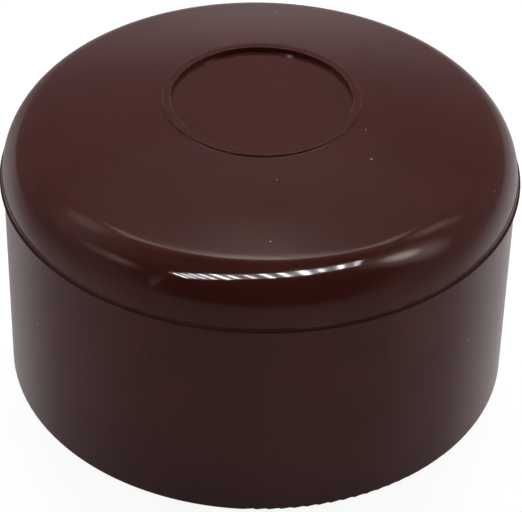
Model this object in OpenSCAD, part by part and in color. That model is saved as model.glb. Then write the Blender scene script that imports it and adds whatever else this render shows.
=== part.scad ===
// Round moulded shoe polish box: a straight-sided cup with a domed slip-on lid.
// The origin is at the centre of the underside, +Z is up, and lengths are in millimetres.

/* [Cup] */
// Outer diameter of the cup
cup_d = 79.7; // [79:0.1:79.9]
// Height of the seam between the cup and the lid above the table
seam_z = 35; // [24:0.5:50]
// Thickness of the cup's floor
cup_floor = 3; // [2:0.1:6]
// Radius between the cup's floor and its wall, on the inside
cup_corner = 3; // [1:0.1:6]
// Radius of the cup's bottom edge
foot_edge = 0.5; // [0.2:0.1:1.5]

/* [Neck] */
// Height of the neck that stands up inside the lid
neck_h = 4; // [3.4:0.1:4.2]
// Wall thickness of the neck
neck_wall = 2; // [1.7:0.1:2.6]
// Gap all round between the neck and the lid's bore
neck_gap = 0.08; // [0.04:0.01:0.1]
// Radius of the lead-in on the neck's outer edge
neck_lead = 0.9; // [0.5:0.1:1]

/* [Lid] */
// Outer diameter of the lid's skirt, above the lip
lid_d = 80; // [80:0.1:84]
// Thickness of the lid's skirt
lid_skirt = 2.6; // [2.4:0.1:2.7]
// Height of the straight band of the lid above the seam
lid_band = 1.2; // [0.9:0.1:4]
// Radius of the round shoulder
shoulder_r = 8.2; // [7.6:0.1:9]
// Radius of the shallow dome
dome_r = 112; // [90:1:140]
// Wall thickness under the dome
lid_wall = 2.2; // [1.8:0.1:2.4]
// How far the lip at the lid's lower edge stands out
lip_out = 0.45; // [0.2:0.05:0.5]
// Height of the lip's upright outer face
lip_face = 0.2; // [0.2:0.05:0.4]
// Radius of the hollow sweep from the skirt down to the lip
lip_sweep = 0.7; // [0.5:0.05:0.8]
// Radius of the lip's lower edge
rim_edge = 0.1; // [0.06:0.02:0.2]
// Gap that stays open at the seam when the lid sits on the sealing disc
seam_gap = 0.3; // [0.1:0.02:0.4]

/* [Label panel] */
// Outer diameter of the raised border around the label panel
panel_d = 30.4; // [20:0.1:34]
// Width of the raised border
border_w = 1.25; // [0.8:0.05:2]
// Height of the border above the dome at its outer edge
border_rise = 0.35; // [0.3:0.05:0.5]
// Radius of the hollow sweep between the border's side and the dome
border_foot = 1.6; // [1:0.1:1.8]
// Depth of the recess below the border
recess_depth = 0.75; // [0.6:0.05:1]
// How far the recess's wall leans in towards its floor
recess_draft = 0.1; // [0:0.05:0.3]

/* [Sealing disc] */
// Diameter of the sealing disc
disc_d = 72.2; // [71.8:0.1:72.3]
// Thickness of the pulp board
board_t = 0.8; // [0.6:0.05:0.9]
// Thickness of the waxed paper facing
facing_t = 0.1; // [0.08:0.01:0.2]

/* [Polish] */
// Drop from the cup's rim to the polish at the wall
polish_drop = 6; // [2:0.5:12]
// Depth of the hollow that cooling leaves in the middle of the polish
polish_dish = 1; // [0.4:0.1:3]
// Shrinkage gap between the polish and the cup's wall
polish_gap = 0.15; // [0.05:0.01:0.4]

/* [Ejector marks] */
// Diameter of each ejector mark in the underside
mark_d = 5; // [3:0.5:8]
// Depth of each ejector mark
mark_depth = 0.2; // [0.1:0.05:0.4]
// Distance of the ejector marks from the axis
mark_place = 24; // [16:0.5:30]
// Number of ejector marks
mark_count = 3; // [2:1:6]

/* [Hidden] */
$fn = 128;
shell_colour = [0.2, 0.08, 0.07];

// Radii, measured from the axis
cup_r = cup_d / 2;
lid_r = lid_d / 2;
lip_r = lid_r + lip_out;
bore_r = lid_r - lid_skirt;
neck_r = bore_r - neck_gap;
inner_r = neck_r - neck_wall;
disc_r = disc_d / 2;
border_r = panel_d / 2;
recess_r = border_r - border_w;
floor_r = recess_r - recess_draft;
polish_r = inner_r - polish_gap;

// Heights above the underside
rim_z = seam_z + neck_h;
skirt_z = seam_z + seam_gap;
polish_z = rim_z - polish_drop;
board_z = rim_z + facing_t;
seat_z = board_z + board_t;
shoulder_z = seam_z + lid_band;

// The hollow sweep touches the skirt at this height
sweep_z = skirt_z + lip_face + sqrt(pow(lip_sweep, 2) - pow(lip_sweep - lip_out, 2));

// The dome is a ball that touches the shoulder's ring from the inside
shoulder_ring = lid_r - shoulder_r;
dome_z = shoulder_z - sqrt(pow(dome_r - shoulder_r, 2) - pow(shoulder_ring, 2));
join_r = shoulder_ring * dome_r / (dome_r - shoulder_r);
top_z = dome_z + dome_r;

// Heights of the label panel, from the dome at the border's outer edge
border_z = dome_z + sqrt(pow(dome_r, 2) - pow(border_r, 2)) + border_rise;
floor_z = border_z - recess_depth;

// The hollow sweep leaves the border's side at this slope and touches the dome at foot_join_r
foot_slope = 30;
foot_ring = border_r + border_foot * sin(foot_slope);
foot_z = dome_z + sqrt(pow(dome_r + border_foot, 2) - pow(foot_ring, 2));
foot_join_r = foot_ring * dome_r / (dome_r + border_foot);
foot_top = foot_z - border_foot * cos(foot_slope);

// The lid's hollow is flat under the recess, at the same wall thickness
ceiling_z = floor_z - lid_wall;

// The lid's seat bears on this width of the sealing disc's edge
seat_width = 1.6;
seat_r = disc_r - seat_width;

// Radii of the small rounded edges and of the corner at the top of the lid's bore
seat_corner = 1.2;
rim_break = 0.25;
seam_break = 0.06;
border_break = 0.1;

// How deep the lip's outline reaches into the skirt
lip_root = 1;

// Overlap that keeps joined outlines from meeting on a line
small = 0.01;

// Takes the corner off an outline, with the corner at the origin and the outline towards -X and -Y.
module corner_cut(radius) {
    translate([-radius, -radius])
        difference() {
            square(radius + small);
            circle(radius);
        }
}

// Outline of a pot's hollow from the height bottom to the height top, with a round lower corner.
module pot_outline(radius, corner, bottom, top) {
    translate([0, bottom + corner])
        square([radius, top - bottom - corner]);
    translate([0, bottom])
        square([radius - corner, corner + small]);
    intersection() {
        translate([radius - corner, bottom + corner])
            circle(corner);
        translate([0, bottom])
            square([radius, 2 * corner]);
    }
}

// Outline of a domed cap, from the seam up, drawn smaller all round by the distance inset.
module cap_outline(inset) {
    intersection() {
        union() {
            translate([0, seam_z - small])
                square([lid_r - inset, lid_band + small]);
            translate([shoulder_ring, shoulder_z])
                circle(shoulder_r - inset);
            intersection() {
                translate([0, dome_z])
                    circle(dome_r - inset, $fn = 720);
                square([join_r, top_z]);
            }
        }
        translate([0, seam_z - small])
            square([lid_r, top_z]);
    }
}

// Outline of the lip at the lid's lower edge, with the hollow sweep above it.
module lip_outline() {
    difference() {
        translate([lid_r - lip_root, skirt_z])
            square([lip_root + lip_out, sweep_z - skirt_z]);
        translate([lid_r + lip_sweep, sweep_z])
            circle(lip_sweep);
        translate([lip_r, skirt_z])
            mirror([0, 1])
                corner_cut(rim_edge);
    }
}

// Outline of the lid's hollow: the bore for the neck, the seat for the disc and the space above.
module lid_hollow_outline() {
    difference() {
        translate([0, seam_z - 1])
            square([bore_r, seat_z - seam_z + 1]);
        translate([bore_r - seat_corner, seat_z - seat_corner])
            difference() {
                square(seat_corner + small);
                circle(seat_corner);
            }
    }
    intersection() {
        cap_outline(lid_wall);
        translate([0, seat_z - small])
            square([seat_r, ceiling_z - seat_z + small]);
    }
}

// Outline of the label panel's border, filled in to the axis, with the hollow sweep at its foot.
module border_outline() {
    difference() {
        translate([0, border_z - 2])
            square([border_r, 2]);
        translate([border_r, border_z])
            corner_cut(border_break);
    }
    difference() {
        translate([border_r - small, foot_top - 1])
            square([foot_join_r - border_r + small, 1]);
        translate([foot_ring, foot_z])
            circle(border_foot);
    }
}

// Outline of the recess inside the border, open at the top.
module recess_outline() {
    polygon([[0, floor_z], [floor_r, floor_z], [recess_r, border_z], [0, border_z]]);
    translate([0, border_z - small])
        square([recess_r, 1]);
}

module cup() {
    color(shell_colour)
        difference() {
            rotate_extrude()
                difference() {
                    union() {
                        square([cup_r, seam_z]);
                        square([neck_r, rim_z]);
                    }
                    pot_outline(inner_r, cup_corner, cup_floor, rim_z + 1);
                    translate([cup_r, 0])
                        mirror([0, 1])
                            corner_cut(foot_edge);
                    translate([cup_r, seam_z])
                        corner_cut(seam_break);
                    translate([neck_r, rim_z])
                        corner_cut(neck_lead);
                    translate([inner_r, rim_z])
                        mirror([1, 0])
                            corner_cut(rim_break);
                }
            for (i = [0 : mark_count - 1])
                rotate([0, 0, i * 360 / mark_count])
                    translate([mark_place, 0, -1])
                        cylinder(h = mark_depth + 1, d = mark_d);
        }
}

module lid() {
    color(shell_colour)
        rotate_extrude()
            difference() {
                union() {
                    difference() {
                        cap_outline(0);
                        square([lid_r, skirt_z]);
                    }
                    lip_outline();
                    border_outline();
                }
                lid_hollow_outline();
                translate([bore_r, skirt_z])
                    mirror([1, 0])
                        mirror([0, 1])
                            corner_cut(rim_break);
                recess_outline();
            }
}

module liner_board() {
    color([0.62, 0.5, 0.36])
        translate([0, 0, board_z])
            cylinder(h = board_t, r = disc_r);
}

module liner_facing() {
    color([0.86, 0.8, 0.68])
        translate([0, 0, rim_z])
            cylinder(h = facing_t, r = disc_r);
}

module polish() {
    dish_r = (pow(polish_r, 2) + pow(polish_dish, 2)) / (2 * polish_dish);
    color([0.3, 0.14, 0.06])
        rotate_extrude()
            difference() {
                pot_outline(polish_r, cup_corner, cup_floor, polish_z);
                translate([0, polish_z - polish_dish + dish_r])
                    circle(dish_r, $fn = 720);
            }
}

cup();
lid();
liner_board();
liner_facing();
polish();
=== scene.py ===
"""Looks of the shoe polish box: materials, fine surfaces, a small studio and the camera.

Lengths are in metres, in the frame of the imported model: the box stands at the origin, +Z is up,
and the camera looks from -Y.
"""

import math
import random

import bmesh
import bpy
from mathutils import Matrix, Vector, noise


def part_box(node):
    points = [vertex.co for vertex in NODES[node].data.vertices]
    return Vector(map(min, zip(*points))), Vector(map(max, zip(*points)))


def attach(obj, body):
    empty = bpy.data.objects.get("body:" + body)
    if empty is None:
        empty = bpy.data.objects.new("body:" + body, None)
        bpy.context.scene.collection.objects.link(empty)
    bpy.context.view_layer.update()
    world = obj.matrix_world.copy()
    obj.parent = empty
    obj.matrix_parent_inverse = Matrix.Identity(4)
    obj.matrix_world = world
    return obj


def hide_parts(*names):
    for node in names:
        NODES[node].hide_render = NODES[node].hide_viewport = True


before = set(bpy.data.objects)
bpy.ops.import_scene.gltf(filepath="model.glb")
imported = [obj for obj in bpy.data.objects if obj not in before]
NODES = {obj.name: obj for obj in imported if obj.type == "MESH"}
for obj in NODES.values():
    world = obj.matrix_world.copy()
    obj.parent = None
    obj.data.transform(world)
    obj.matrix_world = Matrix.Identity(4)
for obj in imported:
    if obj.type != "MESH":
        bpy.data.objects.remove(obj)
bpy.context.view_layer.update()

MM = 0.001
UP = Vector((0.0, 0.0, 1.0))

# ---------------------------------------------------------------- places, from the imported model

lid_low, lid_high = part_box("lid")
polish_low, polish_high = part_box("polish")
FACING_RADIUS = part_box("liner_facing")[1].x

# The lid's lip stands out from its skirt, and the lid rests on the disc with an open seam under it.
LIP_OUT = 0.45 * MM
SEAM_GAP = 0.3 * MM
LID_R = lid_high.x - LIP_OUT
TOP_Z = lid_high.z
SEAM_Z = lid_low.z - SEAM_GAP


# ---------------------------------------------------------------- a small builder for node trees

class Graph:
    """Adds nodes to one tree. Each call returns the new node's output, to use as an input."""

    def __init__(self, tree):
        self.tree = tree
        tree.nodes.clear()

    def join(self, value, socket):
        if isinstance(value, bpy.types.NodeSocket):
            self.tree.links.new(value, socket)
        else:
            socket.default_value = value

    def node(self, kind, inputs=None, **settings):
        made = self.tree.nodes.new(kind)
        for key, value in settings.items():
            setattr(made, key, value)
        for key, value in (inputs or {}).items():
            self.join(value, made.inputs[key])
        return made

    def math(self, operation, a, b=0.0):
        return self.node("ShaderNodeMath", {0: a, 1: b}, operation=operation).outputs[0]

    def add(self, *terms):
        total = terms[0]
        for term in terms[1:]:
            total = self.math("ADD", total, term)
        return total

    def times(self, *terms):
        product = terms[0]
        for term in terms[1:]:
            product = self.math("MULTIPLY", product, term)
        return product

    def less(self, a, b):
        return self.math("SUBTRACT", a, b)

    def choose(self, test, a, b):
        """a where the test is 1 and b where it is 0."""
        return self.add(self.times(a, test), self.times(b, self.invert(test)))

    def invert(self, a):
        return self.math("SUBTRACT", 1.0, a)

    def ramp(self, value, low, high, start=0.0, end=1.0):
        """Goes smoothly from start to end as value goes from low to high."""
        inputs = {0: value, 1: low, 2: high, 3: start, 4: end}
        return self.node("ShaderNodeMapRange", inputs, interpolation_type="SMOOTHSTEP").outputs[0]

    def bell(self, value, centre, width):
        """1 at the centre, falling off on both sides over the width."""
        offset = self.math("DIVIDE", self.less(value, centre), width)
        return self.math("EXPONENT", self.times(offset, offset, -1.0))

    def length(self, a, b):
        """Length of the hypotenuse over two sides."""
        return self.math("SQRT", self.add(self.times(a, a), self.times(b, b)))

    def split(self, vector):
        return self.node("ShaderNodeSeparateXYZ", {0: vector}).outputs

    def place(self, scale=(1.0, 1.0, 1.0), turn=(0.0, 0.0, 0.0)):
        """The point's place on the resting object, stretched and turned."""
        point = self.node("ShaderNodeTexCoord").outputs["Object"]
        inputs = {"Vector": point, "Scale": scale, "Rotation": turn}
        return self.node("ShaderNodeMapping", inputs).outputs[0]

    def noise(self, size, detail=2.0, rough=0.5, twist=0.0, place=None):
        """Soft noise from 0 to 1 whose blobs are about as wide as size."""
        inputs = {"Vector": place or self.place(), "Scale": 1 / size, "Detail": detail,
                  "Roughness": rough, "Distortion": twist}
        return self.node("ShaderNodeTexNoise", inputs).outputs[0]

    def cells(self, size):
        """Distance to the nearest of many scattered points that are about size apart."""
        inputs = {"Vector": self.place(), "Scale": 1 / size}
        return self.node("ShaderNodeTexVoronoi", inputs).outputs["Distance"]

    def mix(self, factor, a, b):
        """Colour a where the factor is 0 and colour b where it is 1."""
        made = self.node("ShaderNodeMix", data_type="RGBA")
        self.join(factor, made.inputs[0])
        self.join(a, made.inputs[6])
        self.join(b, made.inputs[7])
        return made.outputs[2]

    def bump(self, height, depth, normal=None):
        """A normal for a height from 0 to 1 that stands for a real depth."""
        inputs = {"Height": height, "Distance": depth, "Strength": 1.0}
        if normal is not None:
            inputs["Normal"] = normal
        return self.node("ShaderNodeBump", inputs).outputs[0]

    def dot(self, a, b):
        """Dot product of two vectors."""
        inputs = {0: a, 1: b}
        return self.node("ShaderNodeVectorMath", inputs, operation="DOT_PRODUCT").outputs["Value"]

    def edges(self, radius):
        """0 on open surfaces, up to 1 along sharp edges within the radius."""
        soft = self.node("ShaderNodeBevel", {"Radius": radius}, samples=4).outputs[0]
        sharp = self.node("ShaderNodeNewGeometry").outputs["True Normal"]
        return self.ramp(self.dot(soft, sharp), 0.995, 0.9)

    def surface(self, **inputs):
        """A principled surface as the material's output. Underscores in names stand for spaces."""
        shader = self.node("ShaderNodeBsdfPrincipled")
        for key, value in inputs.items():
            self.join(value, shader.inputs[key.replace("_", " ")])
        self.tree.links.new(shader.outputs[0], self.node("ShaderNodeOutputMaterial").inputs["Surface"])


def material(name):
    """A new material and the graph that fills it."""
    made = bpy.data.materials.new(name)
    made.use_nodes = True
    return made, Graph(made.node_tree)


def colour(red, green, blue):
    """A linear colour from display values of 0 to 255."""
    def linear(value):
        share = value / 255
        return share / 12.92 if share <= 0.04045 else ((share + 0.055) / 1.055) ** 2.4
    return (linear(red), linear(green), linear(blue), 1.0)


def dress(obj, made):
    """Gives an object one material."""
    obj.data.materials.clear()
    obj.data.materials.append(made)


# ---------------------------------------------------------------- materials of the object

# The lid's outer curve, as a section through its axis: a round shoulder, a shallow dome, and a hollow
# sweep where the dome meets the raised border of the label panel.
LID_BAND = 1.2 * MM
SHOULDER_RADIUS = 8.2 * MM
SHOULDER_Z = SEAM_Z + LID_BAND
SHOULDER_RING = LID_R - SHOULDER_RADIUS
DOME_RADIUS = 112 * MM
DOME_Z = SHOULDER_Z - math.sqrt((DOME_RADIUS - SHOULDER_RADIUS) ** 2 - SHOULDER_RING ** 2)
DOME_END = SHOULDER_RING * DOME_RADIUS / (DOME_RADIUS - SHOULDER_RADIUS)
BORDER_RADIUS = 15.2 * MM
FOOT_RADIUS = 1.6 * MM
FOOT_RING = BORDER_RADIUS + FOOT_RADIUS / 2
FOOT_Z = DOME_Z + math.sqrt((DOME_RADIUS + FOOT_RADIUS) ** 2 - FOOT_RING ** 2)
DOME_START = FOOT_RING * DOME_RADIUS / (DOME_RADIUS + FOOT_RADIUS)

# The exact normal is used outside the border's side, and only where it is this close to the mesh's.
BORDER_MARGIN = 0.02 * MM
LEAST_MATCH = 0.98

# Painted shade: a matt, darker band on the lip's edge draws the dark line along the seam from here
# outwards. It fades in over this width.
SEAM_SHADE_START = 0.18 * MM
SEAM_SHADE_FADE = 0.06 * MM


def lid_normal(g):
    """The exact normal of the lid's outer curve, so that the facets don't show in reflections.

    Elsewhere on the lid it is the mesh's own normal.
    """
    x, y, z = g.split(g.place())
    radius = g.length(x, y)
    on_foot = g.math("LESS_THAN", radius, DOME_START)
    on_shoulder = g.math("GREATER_THAN", radius, DOME_END)
    outward_foot = g.less(g.math("DIVIDE", FOOT_RING, radius), 1.0)
    outward_shoulder = g.invert(g.math("DIVIDE", SHOULDER_RING, radius))
    rise_shoulder = g.math("MAXIMUM", g.less(z, SHOULDER_Z), 0.0)
    outward = g.choose(on_foot, outward_foot, g.choose(on_shoulder, outward_shoulder, 1.0))
    rise = g.choose(on_shoulder, rise_shoulder, g.less(z, DOME_Z))
    rise = g.choose(on_foot, g.less(FOOT_Z, z), rise)
    inputs = {0: g.times(x, outward), 1: g.times(y, outward), 2: rise}
    vector = g.node("ShaderNodeCombineXYZ", inputs).outputs[0]
    settings = {"vector_type": "NORMAL", "convert_from": "OBJECT", "convert_to": "WORLD"}
    exact = g.node("ShaderNodeVectorTransform", {0: vector}, **settings).outputs[0]
    exact = g.node("ShaderNodeVectorMath", {0: exact}, operation="NORMALIZE").outputs[0]
    mesh = g.node("ShaderNodeNewGeometry").outputs["Normal"]
    is_curve = g.math("GREATER_THAN", radius, BORDER_RADIUS + BORDER_MARGIN)
    matches = g.math("GREATER_THAN", g.dot(exact, mesh), LEAST_MATCH)
    chosen = g.node("ShaderNodeMix", data_type="VECTOR")
    g.join(g.times(matches, is_curve), chosen.inputs[0])
    g.join(mesh, chosen.inputs[4])
    g.join(exact, chosen.inputs[5])
    return chosen.outputs[1]


def seam_shade_band(g):
    """1 on the outer edge of the lid's lip, where a matt band of painted shade draws the dark line along
    the seam, and else 0.
    """
    x, y, _ = g.split(g.place())
    start = LID_R + SEAM_SHADE_START
    return g.ramp(g.length(x, y), start, start + SEAM_SHADE_FADE)


RESIN_DEEP = colour(59, 26, 22)
RESIN_LIGHT = colour(63, 29, 25)
RESIN_FLECK = colour(90, 52, 44)
RESIN_WORN = colour(120, 86, 78)
# Painted shade: the colour of the matt band on the lip's edge that draws the seam's dark line
SEAM_SHADE_COLOUR = colour(54, 31, 28)
DUST = colour(190, 180, 172)


def shell_material(name, base_normal=None):
    """Dark red-brown moulded resin: glossy, faintly mottled, with dust, fine scratches and worn edges.

    The lip's outer edge is a matt band of painted shade that draws the dark line along the seam.
    """
    made, g = material(name)
    normal = base_normal(g) if base_normal else None
    mottle = g.ramp(g.noise(14 * MM, detail=3, twist=0.6), 0.35, 0.65)
    flecks = g.ramp(g.noise(0.5 * MM, detail=1), 0.62, 0.8)
    worn = g.times(g.edges(0.35 * MM), g.ramp(g.noise(2.5 * MM), 0.35, 0.7))
    dust = g.ramp(g.cells(5.5 * MM), 0.035, 0.02)
    seam_shade = seam_shade_band(g)
    base = g.mix(mottle, RESIN_DEEP, RESIN_LIGHT)
    base = g.mix(g.times(flecks, 0.12), base, RESIN_FLECK)
    base = g.mix(g.times(worn, 0.25), base, RESIN_WORN)
    base = g.mix(g.times(dust, 0.5), base, DUST)
    # Painted shade: the lip's edge turns into a matt, darker band for the dark line along the seam
    base = g.mix(seam_shade, base, SEAM_SHADE_COLOUR)
    handled = g.noise(9 * MM, detail=4, twist=1.0)
    rough = g.add(g.ramp(handled, 0.3, 0.75, 0.05, 0.09), g.times(worn, 0.25), g.times(dust, 0.4))
    wave = g.noise(7 * MM, detail=1)
    grain = g.noise(0.7 * MM, detail=2)
    scratch = g.noise(0.25 * MM, detail=1, place=g.place(scale=(1, 0.04, 1), turn=(0, 0, 0.6)))
    normal = g.bump(wave, 0.004 * MM, normal)
    normal = g.bump(grain, 0.0003 * MM, normal)
    normal = g.bump(g.ramp(scratch, 0.7, 0.8), 0.0005 * MM, normal)
    rough = g.choose(seam_shade, 0.8, rough)
    shine = g.choose(seam_shade, 0.05, 0.5)
    g.surface(Base_Color=base, Roughness=rough, IOR=1.55, Specular_IOR_Level=shine, Normal=normal)
    return made


def board_material():
    """Matt grey-brown pulp board with short fibres."""
    made, g = material("pulp_board")
    fibre = g.noise(0.4 * MM, detail=4, twist=1.5, place=g.place(scale=(1, 1, 4)))
    patch = g.noise(6 * MM, detail=3)
    base = g.mix(fibre, colour(150, 128, 98), colour(196, 174, 140))
    base = g.mix(g.ramp(patch, 0.4, 0.7, 0, 0.4), base, colour(128, 104, 76))
    g.surface(Base_Color=base, Roughness=0.92, Normal=g.bump(fibre, 0.06 * MM))
    return made


# The cup's rim presses its ring this far inside the facing's edge.
RING_INSET = 0.6 * MM


def facing_material():
    """Waxed paper: pale, slightly glossy, with a pressed ring and faint brown stains."""
    made, g = material("waxed_paper")
    x, y, _ = g.split(g.place())
    ring = g.bell(g.length(x, y), FACING_RADIUS - RING_INSET, 0.35 * MM)
    stain = g.ramp(g.noise(11 * MM, detail=4, twist=1.0), 0.5, 0.75)
    base = g.mix(g.times(stain, 0.55), colour(226, 214, 186), colour(168, 118, 78))
    base = g.mix(g.times(ring, 0.5), base, colour(120, 74, 46))
    crinkle = g.noise(3 * MM, detail=5, rough=0.65)
    normal = g.bump(g.less(crinkle, ring), 0.05 * MM)
    g.surface(Base_Color=base, Roughness=g.ramp(stain, 0, 1, 0.42, 0.3), Normal=normal)
    return made


def polish_material():
    """Firm brown wax paste with a soft gloss and a little depth."""
    made, g = material("wax_polish")
    cloud = g.noise(8 * MM, detail=4, twist=1.2)
    base = g.mix(cloud, colour(78, 36, 20), colour(104, 52, 28))
    base = g.mix(g.ramp(g.noise(1.2 * MM, detail=3), 0.6, 0.8, 0, 0.3), base, colour(138, 82, 48))
    rough = g.ramp(g.noise(5 * MM, detail=3), 0.35, 0.7, 0.3, 0.48)
    normal = g.bump(g.noise(1.6 * MM, detail=4), 0.03 * MM)
    g.surface(Base_Color=base, Roughness=rough, IOR=1.45, Subsurface_Weight=0.15,
              Subsurface_Radius=(1.2 * MM, 0.5 * MM, 0.3 * MM), Normal=normal)
    return made


dress(NODES["cup"], shell_material("moulded_cup"))
dress(NODES["lid"], shell_material("moulded_lid", lid_normal))
dress(NODES["liner_board"], board_material())
dress(NODES["liner_facing"], facing_material())


# ---------------------------------------------------------------- the polish, as a poured cake

POLISH_R = polish_high.x
POLISH_CORNER = 3 * MM
POLISH_DISH = 1 * MM
SEGMENTS = 300
TOP_RINGS = 96
SIDE_RINGS = 8
CORNER_RINGS = 8
NOISE_SEED = 5

# Relief of the skin: where it clung to the wall, the moat beside that, and the knob in the middle
# where the pouring ended.
MENISCUS_RISE = 0.3 * MM
MENISCUS_WIDTH = 0.5 * MM
MOAT_DEPTH = 0.22 * MM
MOAT_PLACE = 1.7 * MM
MOAT_WIDTH = 0.8 * MM
KNOB_RISE = 0.2 * MM
KNOB_WIDTH = 3.5 * MM

# Unevenness at two sizes, and a spiral of ripples that dies out towards the wall
SWELL_RISE = 0.12 * MM
SWELL_SIZE = 9 * MM
GRAIN_RISE = 0.03 * MM
GRAIN_SIZE = 2.2 * MM
RIPPLE_RISE = 0.035 * MM
RIPPLE_PITCH = 1.6 * MM
RIPPLE_ARMS = 3

# Shrinkage cracks between cells that are warped out of their regular shape
CRACK_DEPTH = 0.45 * MM
CRACK_CELL = 8.5 * MM
CRACK_WARP = 0.25
CRACK_WARP_SIZE = 5 * MM


def smooth(value, low, high):
    """Goes smoothly from 0 to 1 as value goes from low to high."""
    share = min(max((value - low) / (high - low), 0.0), 1.0)
    return share * share * (3 - 2 * share)


def bump_at(distance, width):
    """1 where the distance is 0, falling off on both sides over the width."""
    return math.exp(-(distance / width) ** 2)


def crack(place):
    """1 in the middle of a crack and 0 on the cells between cracks."""
    warped = place / CRACK_CELL + CRACK_WARP * noise.noise_vector(place / CRACK_WARP_SIZE)
    near, next_near = noise.voronoi(warped)[0][:2]
    return 1 - smooth(next_near - near, 0.015, 0.07)


def polish_height(radius, angle):
    """Height of the cake's skin: a dish with a rim that clung to the wall, ripples from pouring and
    shrinkage cracks near the edge."""
    from_wall = POLISH_R - radius
    height = polish_high.z - POLISH_DISH * (1 - (radius / POLISH_R) ** 2)
    height += MENISCUS_RISE * bump_at(from_wall, MENISCUS_WIDTH)
    height -= MOAT_DEPTH * bump_at(from_wall - MOAT_PLACE, MOAT_WIDTH)
    height += KNOB_RISE * bump_at(radius, KNOB_WIDTH)
    place = Vector((radius * math.cos(angle), radius * math.sin(angle), 0.0))
    height += SWELL_RISE * noise.noise(place / SWELL_SIZE)
    height += GRAIN_RISE * noise.noise(place / GRAIN_SIZE)
    inner = 1 - smooth(radius, 0.75 * POLISH_R, POLISH_R)
    height += RIPPLE_RISE * inner * math.sin(RIPPLE_ARMS * angle + radius / RIPPLE_PITCH)
    near_wall = smooth(radius, 0.55 * POLISH_R, 0.8 * POLISH_R)
    return height - CRACK_DEPTH * crack(place) * near_wall


def polish_section():
    """Radius and height of each ring of the cake's side and underside, from the top down."""
    low = polish_low.z
    side = polish_high.z - low - POLISH_CORNER
    rings = [(POLISH_R, polish_high.z - side * i / SIDE_RINGS) for i in range(1, SIDE_RINGS + 1)]
    for i in range(1, CORNER_RINGS + 1):
        turn = math.pi / 2 * i / CORNER_RINGS
        radius = POLISH_R - POLISH_CORNER * (1 - math.cos(turn))
        rings.append((radius, low + POLISH_CORNER * (1 - math.sin(turn))))
    rings += [((POLISH_R - POLISH_CORNER) * share, low) for share in (0.66, 0.33)]
    return rings


def ring_of_points(shape, radius, height_at):
    """A ring of vertices at one radius, at the height that each angle has."""
    angles = [2 * math.pi * i / SEGMENTS for i in range(SEGMENTS)]
    places = [(radius * math.cos(a), radius * math.sin(a), height_at(a)) for a in angles]
    return [shape.verts.new(place) for place in places]


def polish_mesh():
    """The closed mesh of the cake: rings from the middle of the skin to the middle of the underside."""
    noise.seed_set(NOISE_SEED)
    shape = bmesh.new()
    centre = shape.verts.new((0.0, 0.0, polish_height(0.0, 0.0)))
    rings = []
    for i in range(1, TOP_RINGS + 1):
        radius = POLISH_R * i / TOP_RINGS
        rings.append(ring_of_points(shape, radius, lambda angle: polish_height(radius, angle)))
    for radius, height in polish_section():
        rings.append(ring_of_points(shape, radius, lambda angle: height))
    bottom = shape.verts.new((0.0, 0.0, polish_low.z))
    for i in range(SEGMENTS):
        j = (i + 1) % SEGMENTS
        shape.faces.new((centre, rings[0][i], rings[0][j]))
        shape.faces.new((bottom, rings[-1][j], rings[-1][i]))
        for upper, lower in zip(rings, rings[1:]):
            shape.faces.new((upper[i], lower[i], lower[j], upper[j]))
    for face in shape.faces:
        face.smooth = True
    mesh = bpy.data.meshes.new("polish_cake")
    shape.to_mesh(mesh)
    shape.free()
    return mesh


def build_polish():
    """The cake of polish, in place of the plain CAD solid."""
    cake = bpy.data.objects.new("polish_cake", polish_mesh())
    bpy.context.scene.collection.objects.link(cake)
    dress(cake, polish_material())
    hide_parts("polish")
    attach(cake, "cup")


build_polish()


# ---------------------------------------------------------------- studio

# The studio is described by what a mirror ball would show: a disc for everything over the horizon
# and one for everything under it, with the horizon at radius 1 and the camera towards -Y.

# Lamps and pale patches over the horizon: centre, half-sizes, turn, softness and brightness. They are
# the patches beside the thin line on the shoulder, then the lamps on the right, those on the left and
# a faint streak.
LAMPS = (
    ((-0.345, 0.148), (0.085, 0.055), 0.2, 0.8, 0.5),
    ((0.33, 0.155), (0.06, 0.04), 0.0, 0.7, 0.7),
    ((0.43, 0.175), (0.07, 0.03), 0.0, 0.8, 0.35),
    ((0.4, -0.077), (0.075, 0.045), -0.1, 0.6, 3.0),
    ((0.48, -0.08), (0.17, 0.085), 0.0, 0.9, 1.1),
    ((-0.51, -0.17), (0.12, 0.06), -0.785, 0.8, 0.42),
    ((-0.462, -0.196), (0.05, 0.035), -0.785, 0.8, 0.45),
    ((-0.45, -0.46), (0.14, 0.018), 0.85, 0.8, 0.3),
)

# The thin bright band that the top of the shoulder mirrors as a line: a bow across the mirror disc
BAND_PLACE = 0.1466
BAND_THICKNESS = 0.0028
BAND_SPREAD = 0.9

# Colour of the reflected light, in general and from the high front
WORLD_TINT = (1.03, 0.97, 0.985, 1.0)
FRONT_TINT = (1.06, 0.94, 0.87, 1.0)
WHITE = (1.0, 1.0, 1.0, 1.0)


def spot(g, px, py, centre, size, turn, soft):
    """1 inside an ellipse on the mirror disc, fading to 0 across its edge."""
    dx, dy = g.less(px, centre[0]), g.less(py, centre[1])
    cos, sin = math.cos(turn), math.sin(turn)
    along = g.times(g.add(g.times(dx, cos), g.times(dy, sin)), 1 / size[0])
    across = g.times(g.less(g.times(dy, cos), g.times(dx, sin)), 1 / size[1])
    return g.ramp(g.length(along, across), 1 + soft, 1 - soft)


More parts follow.
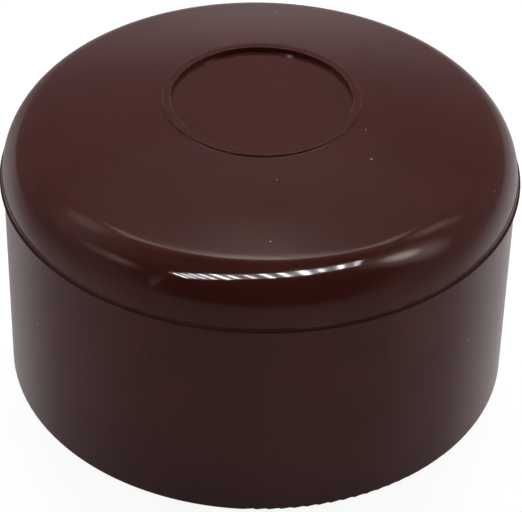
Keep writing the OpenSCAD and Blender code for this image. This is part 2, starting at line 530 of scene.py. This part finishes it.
def tent_light(g, px, py):
    """The pale tent over the box, with its dark opening in front and a dark gap in its roof."""
    side = g.math("ABSOLUTE", px)
    right_wall = g.ramp(px, 0.5, 1.0, 0.0, 0.05)
    back_wall = g.times(g.bell(px, 0.0, 0.2), g.ramp(py, 0.55, 0.85), 0.2)
    left_patch = g.times(spot(g, px, py, (-0.5, 0.06), (0.16, 0.14), 0, 0.8), 0.15)
    rear_patch = g.times(spot(g, px, py, (0.0, 0.5), (0.2, 0.5), 0, 0.8), 0.04)
    roof_patch = g.times(spot(g, px, py, (0.0, 0.25), (0.22, 0.14), 0, 0.8), 0.15)
    tent = g.add(0.15, right_wall, back_wall, left_patch, rear_patch, roof_patch)
    depth = g.ramp(g.length(px, py), 0.96, 0.8)
    opening = g.times(g.ramp(py, 0.1, -0.25), g.ramp(side, 0.8, 0.38), depth)
    gap = spot(g, px, py, (0.0, 0.02), (0.24, 0.085), 0, 0.35)
    return g.times(tent, g.invert(opening), g.invert(g.times(gap, 0.8)))


def band_light(g, px, py):
    """The thin bright band, brightest in its middle, and the soft glow behind it."""
    bow = g.times(px, px)
    above_bow = g.less(py, g.add(BAND_PLACE, bow))
    thickness = g.add(BAND_THICKNESS, g.times(bow, BAND_SPREAD))
    band = g.ramp(g.math("DIVIDE", g.math("ABSOLUTE", above_bow), thickness), 1.3, 0.7)
    ends = g.ramp(g.math("ABSOLUTE", px), 0.235, 0.185)
    band = g.times(band, ends, g.add(1.2, g.times(g.bell(px, 0.0, 0.07), 2.0)))
    behind = g.times(g.ramp(above_bow, -0.002, 0.003), g.ramp(above_bow, 0.1, 0.0))
    return g.add(band, g.times(g.bell(px, 0.0, 0.09), behind, 0.45))


def light_above(g, px, py):
    """Reflections from over the horizon."""
    lamps = [g.times(spot(g, px, py, *shape), level) for *shape, level in LAMPS]
    return g.add(tent_light(g, px, py), band_light(g, px, py), *lamps)


def light_below(g, px, py):
    """Reflections from under the horizon: the pale floor, brighter at the sides and behind."""
    side = g.math("ABSOLUTE", px)
    right = g.times(g.ramp(px, -0.1, 0.1), 0.02)
    flank = g.times(g.ramp(py, -0.6, 0.2), g.ramp(side, 0.3, 0.6), g.ramp(side, 1.05, 0.7), 0.16)
    rear_left = g.times(spot(g, px, py, (-0.43, 0.43), (0.3, 0.2), -0.5, 0.9), 0.28)
    rear_right = g.times(spot(g, px, py, (0.45, 0.43), (0.34, 0.2), -0.5, 0.9), 0.42)
    rear_middle = g.times(spot(g, px, py, (0.0, 0.8), (0.2, 0.35), 0, 0.9), 0.15)
    return g.add(0.18, flank, rear_left, rear_right, rear_middle, right)


def reflected_light(g, x, y, z):
    """How bright each direction looks in a mirror. The mirror disc has the zenith, or the nadir,
    in its middle and the horizon at radius 1."""
    scale = g.math("DIVIDE", 1.0, g.add(1.0, g.math("ABSOLUTE", z)))
    px, py = g.times(x, scale), g.times(y, scale)
    up = g.ramp(z, -0.02, 0.02)
    return g.add(g.times(light_above(g, px, py), up), g.times(light_below(g, px, py), g.invert(up)))


def build_world():
    """The surroundings that the object mirrors, and a plain white backdrop for the camera."""
    world = bpy.data.worlds.new("studio")
    world.use_nodes = True
    bpy.context.scene.world = world
    g = Graph(world.node_tree)
    x, y, z = g.split(g.node("ShaderNodeTexCoord").outputs["Generated"])
    is_camera = g.node("ShaderNodeLightPath").outputs["Is Camera Ray"]
    seen = g.add(g.times(reflected_light(g, x, y, z), g.invert(is_camera)), is_camera)
    in_front = g.times(g.ramp(g.math("DIVIDE", y, g.add(1.0, z)), 0.42, 0.2), g.ramp(z, 0.0, 0.2))
    tint = g.mix(is_camera, g.mix(in_front, WORLD_TINT, FRONT_TINT), WHITE)
    background = g.node("ShaderNodeBackground", {"Color": tint, "Strength": seen})
    output = g.node("ShaderNodeOutputWorld")
    g.tree.links.new(background.outputs[0], output.inputs["Surface"])


# The row of lamps that the shoulder mirrors: uneven bars side by side on a far ceiling, with a soft
# glow behind them. Places and sizes are distances divided by the ceiling's height over the front of
# the shoulder, and the two ends are given as their distances to the right and to the rear of it.
SHOULDER_FRONT = (-0.92 * LID_R, 0.9 * TOP_Z)
CEILING = 1.5
BAR_COUNT = 13
ROW_START = (-0.62, -0.69)
ROW_END = (0.54, -0.115)
BAR_LENGTH = 0.155
BAR_WIDTH = 0.032
BAR_LEAN = -0.06
BAR_RADIANCE = 30.0
GLOW_HEIGHT = 1.01
GLOW_REACH = 0.94
GLOW_LENGTH = 0.19
GLOW_RADIANCE = 2.4
GLOW_COLOUR = (1.0, 0.92, 1.05)
BAR_SEED = 11

FILL_DISTANCE = 0.8


def area_light(name, place, aim, size, power, roll=0.0):
    """A soft rectangular lamp that shines from its place towards its aim."""
    lamp = bpy.data.lights.new(name, "AREA")
    lamp.shape = "RECTANGLE"
    lamp.size, lamp.size_y = size
    lamp.energy = power
    obj = bpy.data.objects.new(name, lamp)
    facing = (Vector(aim) - Vector(place)).to_track_quat("-Z", "Y").to_matrix().to_4x4()
    obj.matrix_world = Matrix.Translation(place) @ facing @ Matrix.Rotation(roll, 4, "Z")
    bpy.context.scene.collection.objects.link(obj)
    return obj


def build_bars(origin, start, row, turn):
    """The bars, which differ a little in size, place and brightness and fade towards the right."""
    chance = random.Random(BAR_SEED)
    for i in range(BAR_COUNT):
        width = BAR_WIDTH * CEILING * chance.uniform(0.8, 1.2)
        length = BAR_LENGTH * CEILING * chance.uniform(0.8, 1.2)
        fade = 1 - 0.6 * smooth(i / BAR_COUNT, 0.7, 1.0)
        radiance = BAR_RADIANCE * fade * chance.uniform(0.65, 1.3)
        spot_on_row = start + row * (i + 0.5 + chance.uniform(-0.1, 0.1)) / BAR_COUNT
        place = origin + CEILING * Vector((spot_on_row.x, spot_on_row.y, 1.0))
        power = radiance * math.pi * width * length
        bar = area_light(f"row_light_{i}", place, place - UP, (width, length), power, turn + BAR_LEAN)
        bar.visible_diffuse = False


def build_row():
    """The row of small bright bars and the glow behind it, seen only in glossy surfaces."""
    origin = Vector((0.0, *SHOULDER_FRONT))
    start, end = Vector(ROW_START), Vector(ROW_END)
    row = end - start
    turn = math.atan2(row.y, row.x)
    build_bars(origin, start, row, turn)
    place = origin + CEILING * Vector((*((start + end) / 2), GLOW_HEIGHT))
    size = (GLOW_REACH * row.length * CEILING, GLOW_LENGTH * CEILING)
    power = GLOW_RADIANCE * math.pi * size[0] * size[1]
    glow = area_light("row_glow", place, place - UP, size, power, turn)
    glow.data.color = GLOW_COLOUR
    glow.visible_diffuse = False


def fill_light(name, direction, size, irradiance):
    """A large soft lamp that gives the object this much light, without a reflection of its own."""
    place = Vector(direction).normalized() * FILL_DISTANCE
    power = irradiance * math.pi * FILL_DISTANCE ** 2
    lamp = area_light(name, place, (0.0, 0.0, 0.5 * TOP_Z), (size, size), power)
    lamp.visible_glossy = False


def build_lights():
    build_row()
    fill_light("top_fill", (0.0, 0.6, 1.0), 0.6, 3.2)
    fill_light("front_fill", (0.0, -1.0, 0.08), 0.5, 0.7)
    fill_light("left_fill", (-1.0, 0.35, 0.25), 0.5, 1.6)
    fill_light("right_fill", (1.0, 0.35, 0.25), 0.5, 1.7)


# The floor mostly shows its own even glow to the camera, and the rest is the light that falls on it.
FLOOR_HALF = 4.0
FLOOR_DROP = 0.05 * MM
FLOOR_COLOUR = (0.85, 0.85, 0.85, 1.0)
FLOOR_GLOW = 1.08
GLOW_SHARE = 0.85


def floor_material():
    made, g = material("pale_floor")
    diffuse = g.node("ShaderNodeBsdfDiffuse", {"Color": FLOOR_COLOUR}).outputs[0]
    lit = g.node("ShaderNodeEmission", {"Color": WHITE, "Strength": FLOOR_GLOW}).outputs[0]
    is_camera = g.node("ShaderNodeLightPath").outputs["Is Camera Ray"]
    mixing = {0: g.times(is_camera, GLOW_SHARE), 1: diffuse, 2: lit}
    both = g.node("ShaderNodeMixShader", mixing).outputs[0]
    g.tree.links.new(both, g.node("ShaderNodeOutputMaterial").inputs["Surface"])
    return made


def build_floor():
    """A plain pale floor with a faint contact shadow."""
    far = FLOOR_HALF
    mesh = bpy.data.meshes.new("floor")
    mesh.from_pydata([(-far, -far, 0), (far, -far, 0), (far, far, 0), (-far, far, 0)], [], [(0, 1, 2, 3)])
    floor = bpy.data.objects.new("floor", mesh)
    floor.location.z = -FLOOR_DROP
    bpy.context.scene.collection.objects.link(floor)
    dress(floor, floor_material())
    floor.visible_glossy = False


build_world()
build_lights()
build_floor()

view = bpy.context.scene.view_settings
view.view_transform = "Standard"
view.look = "None"


# ---------------------------------------------------------------- camera

CAMERA_DISTANCE = 9.73 * LID_R
CAMERA_ELEVATION = math.radians(37.87)
CAMERA_ROLL = math.radians(1.23)
AIM_HEIGHT = 0.4457 * LID_R
LENS_MM = 167.5
SHIFT_X, SHIFT_Y = 0.0051, 0.0019

camera = bpy.data.objects.new("camera", bpy.data.cameras.new("camera"))
camera.data.lens = LENS_MM
camera.data.shift_x, camera.data.shift_y = SHIFT_X, SHIFT_Y
rearward = Vector((0.0, -math.cos(CAMERA_ELEVATION), math.sin(CAMERA_ELEVATION)))
tilt = Matrix.Rotation(math.pi / 2 - CAMERA_ELEVATION, 4, "X") @ Matrix.Rotation(CAMERA_ROLL, 4, "Z")
camera.matrix_world = Matrix.Translation(Vector((0, 0, AIM_HEIGHT)) + CAMERA_DISTANCE * rearward) @ tilt
bpy.context.scene.collection.objects.link(camera)
bpy.context.scene.camera = camera
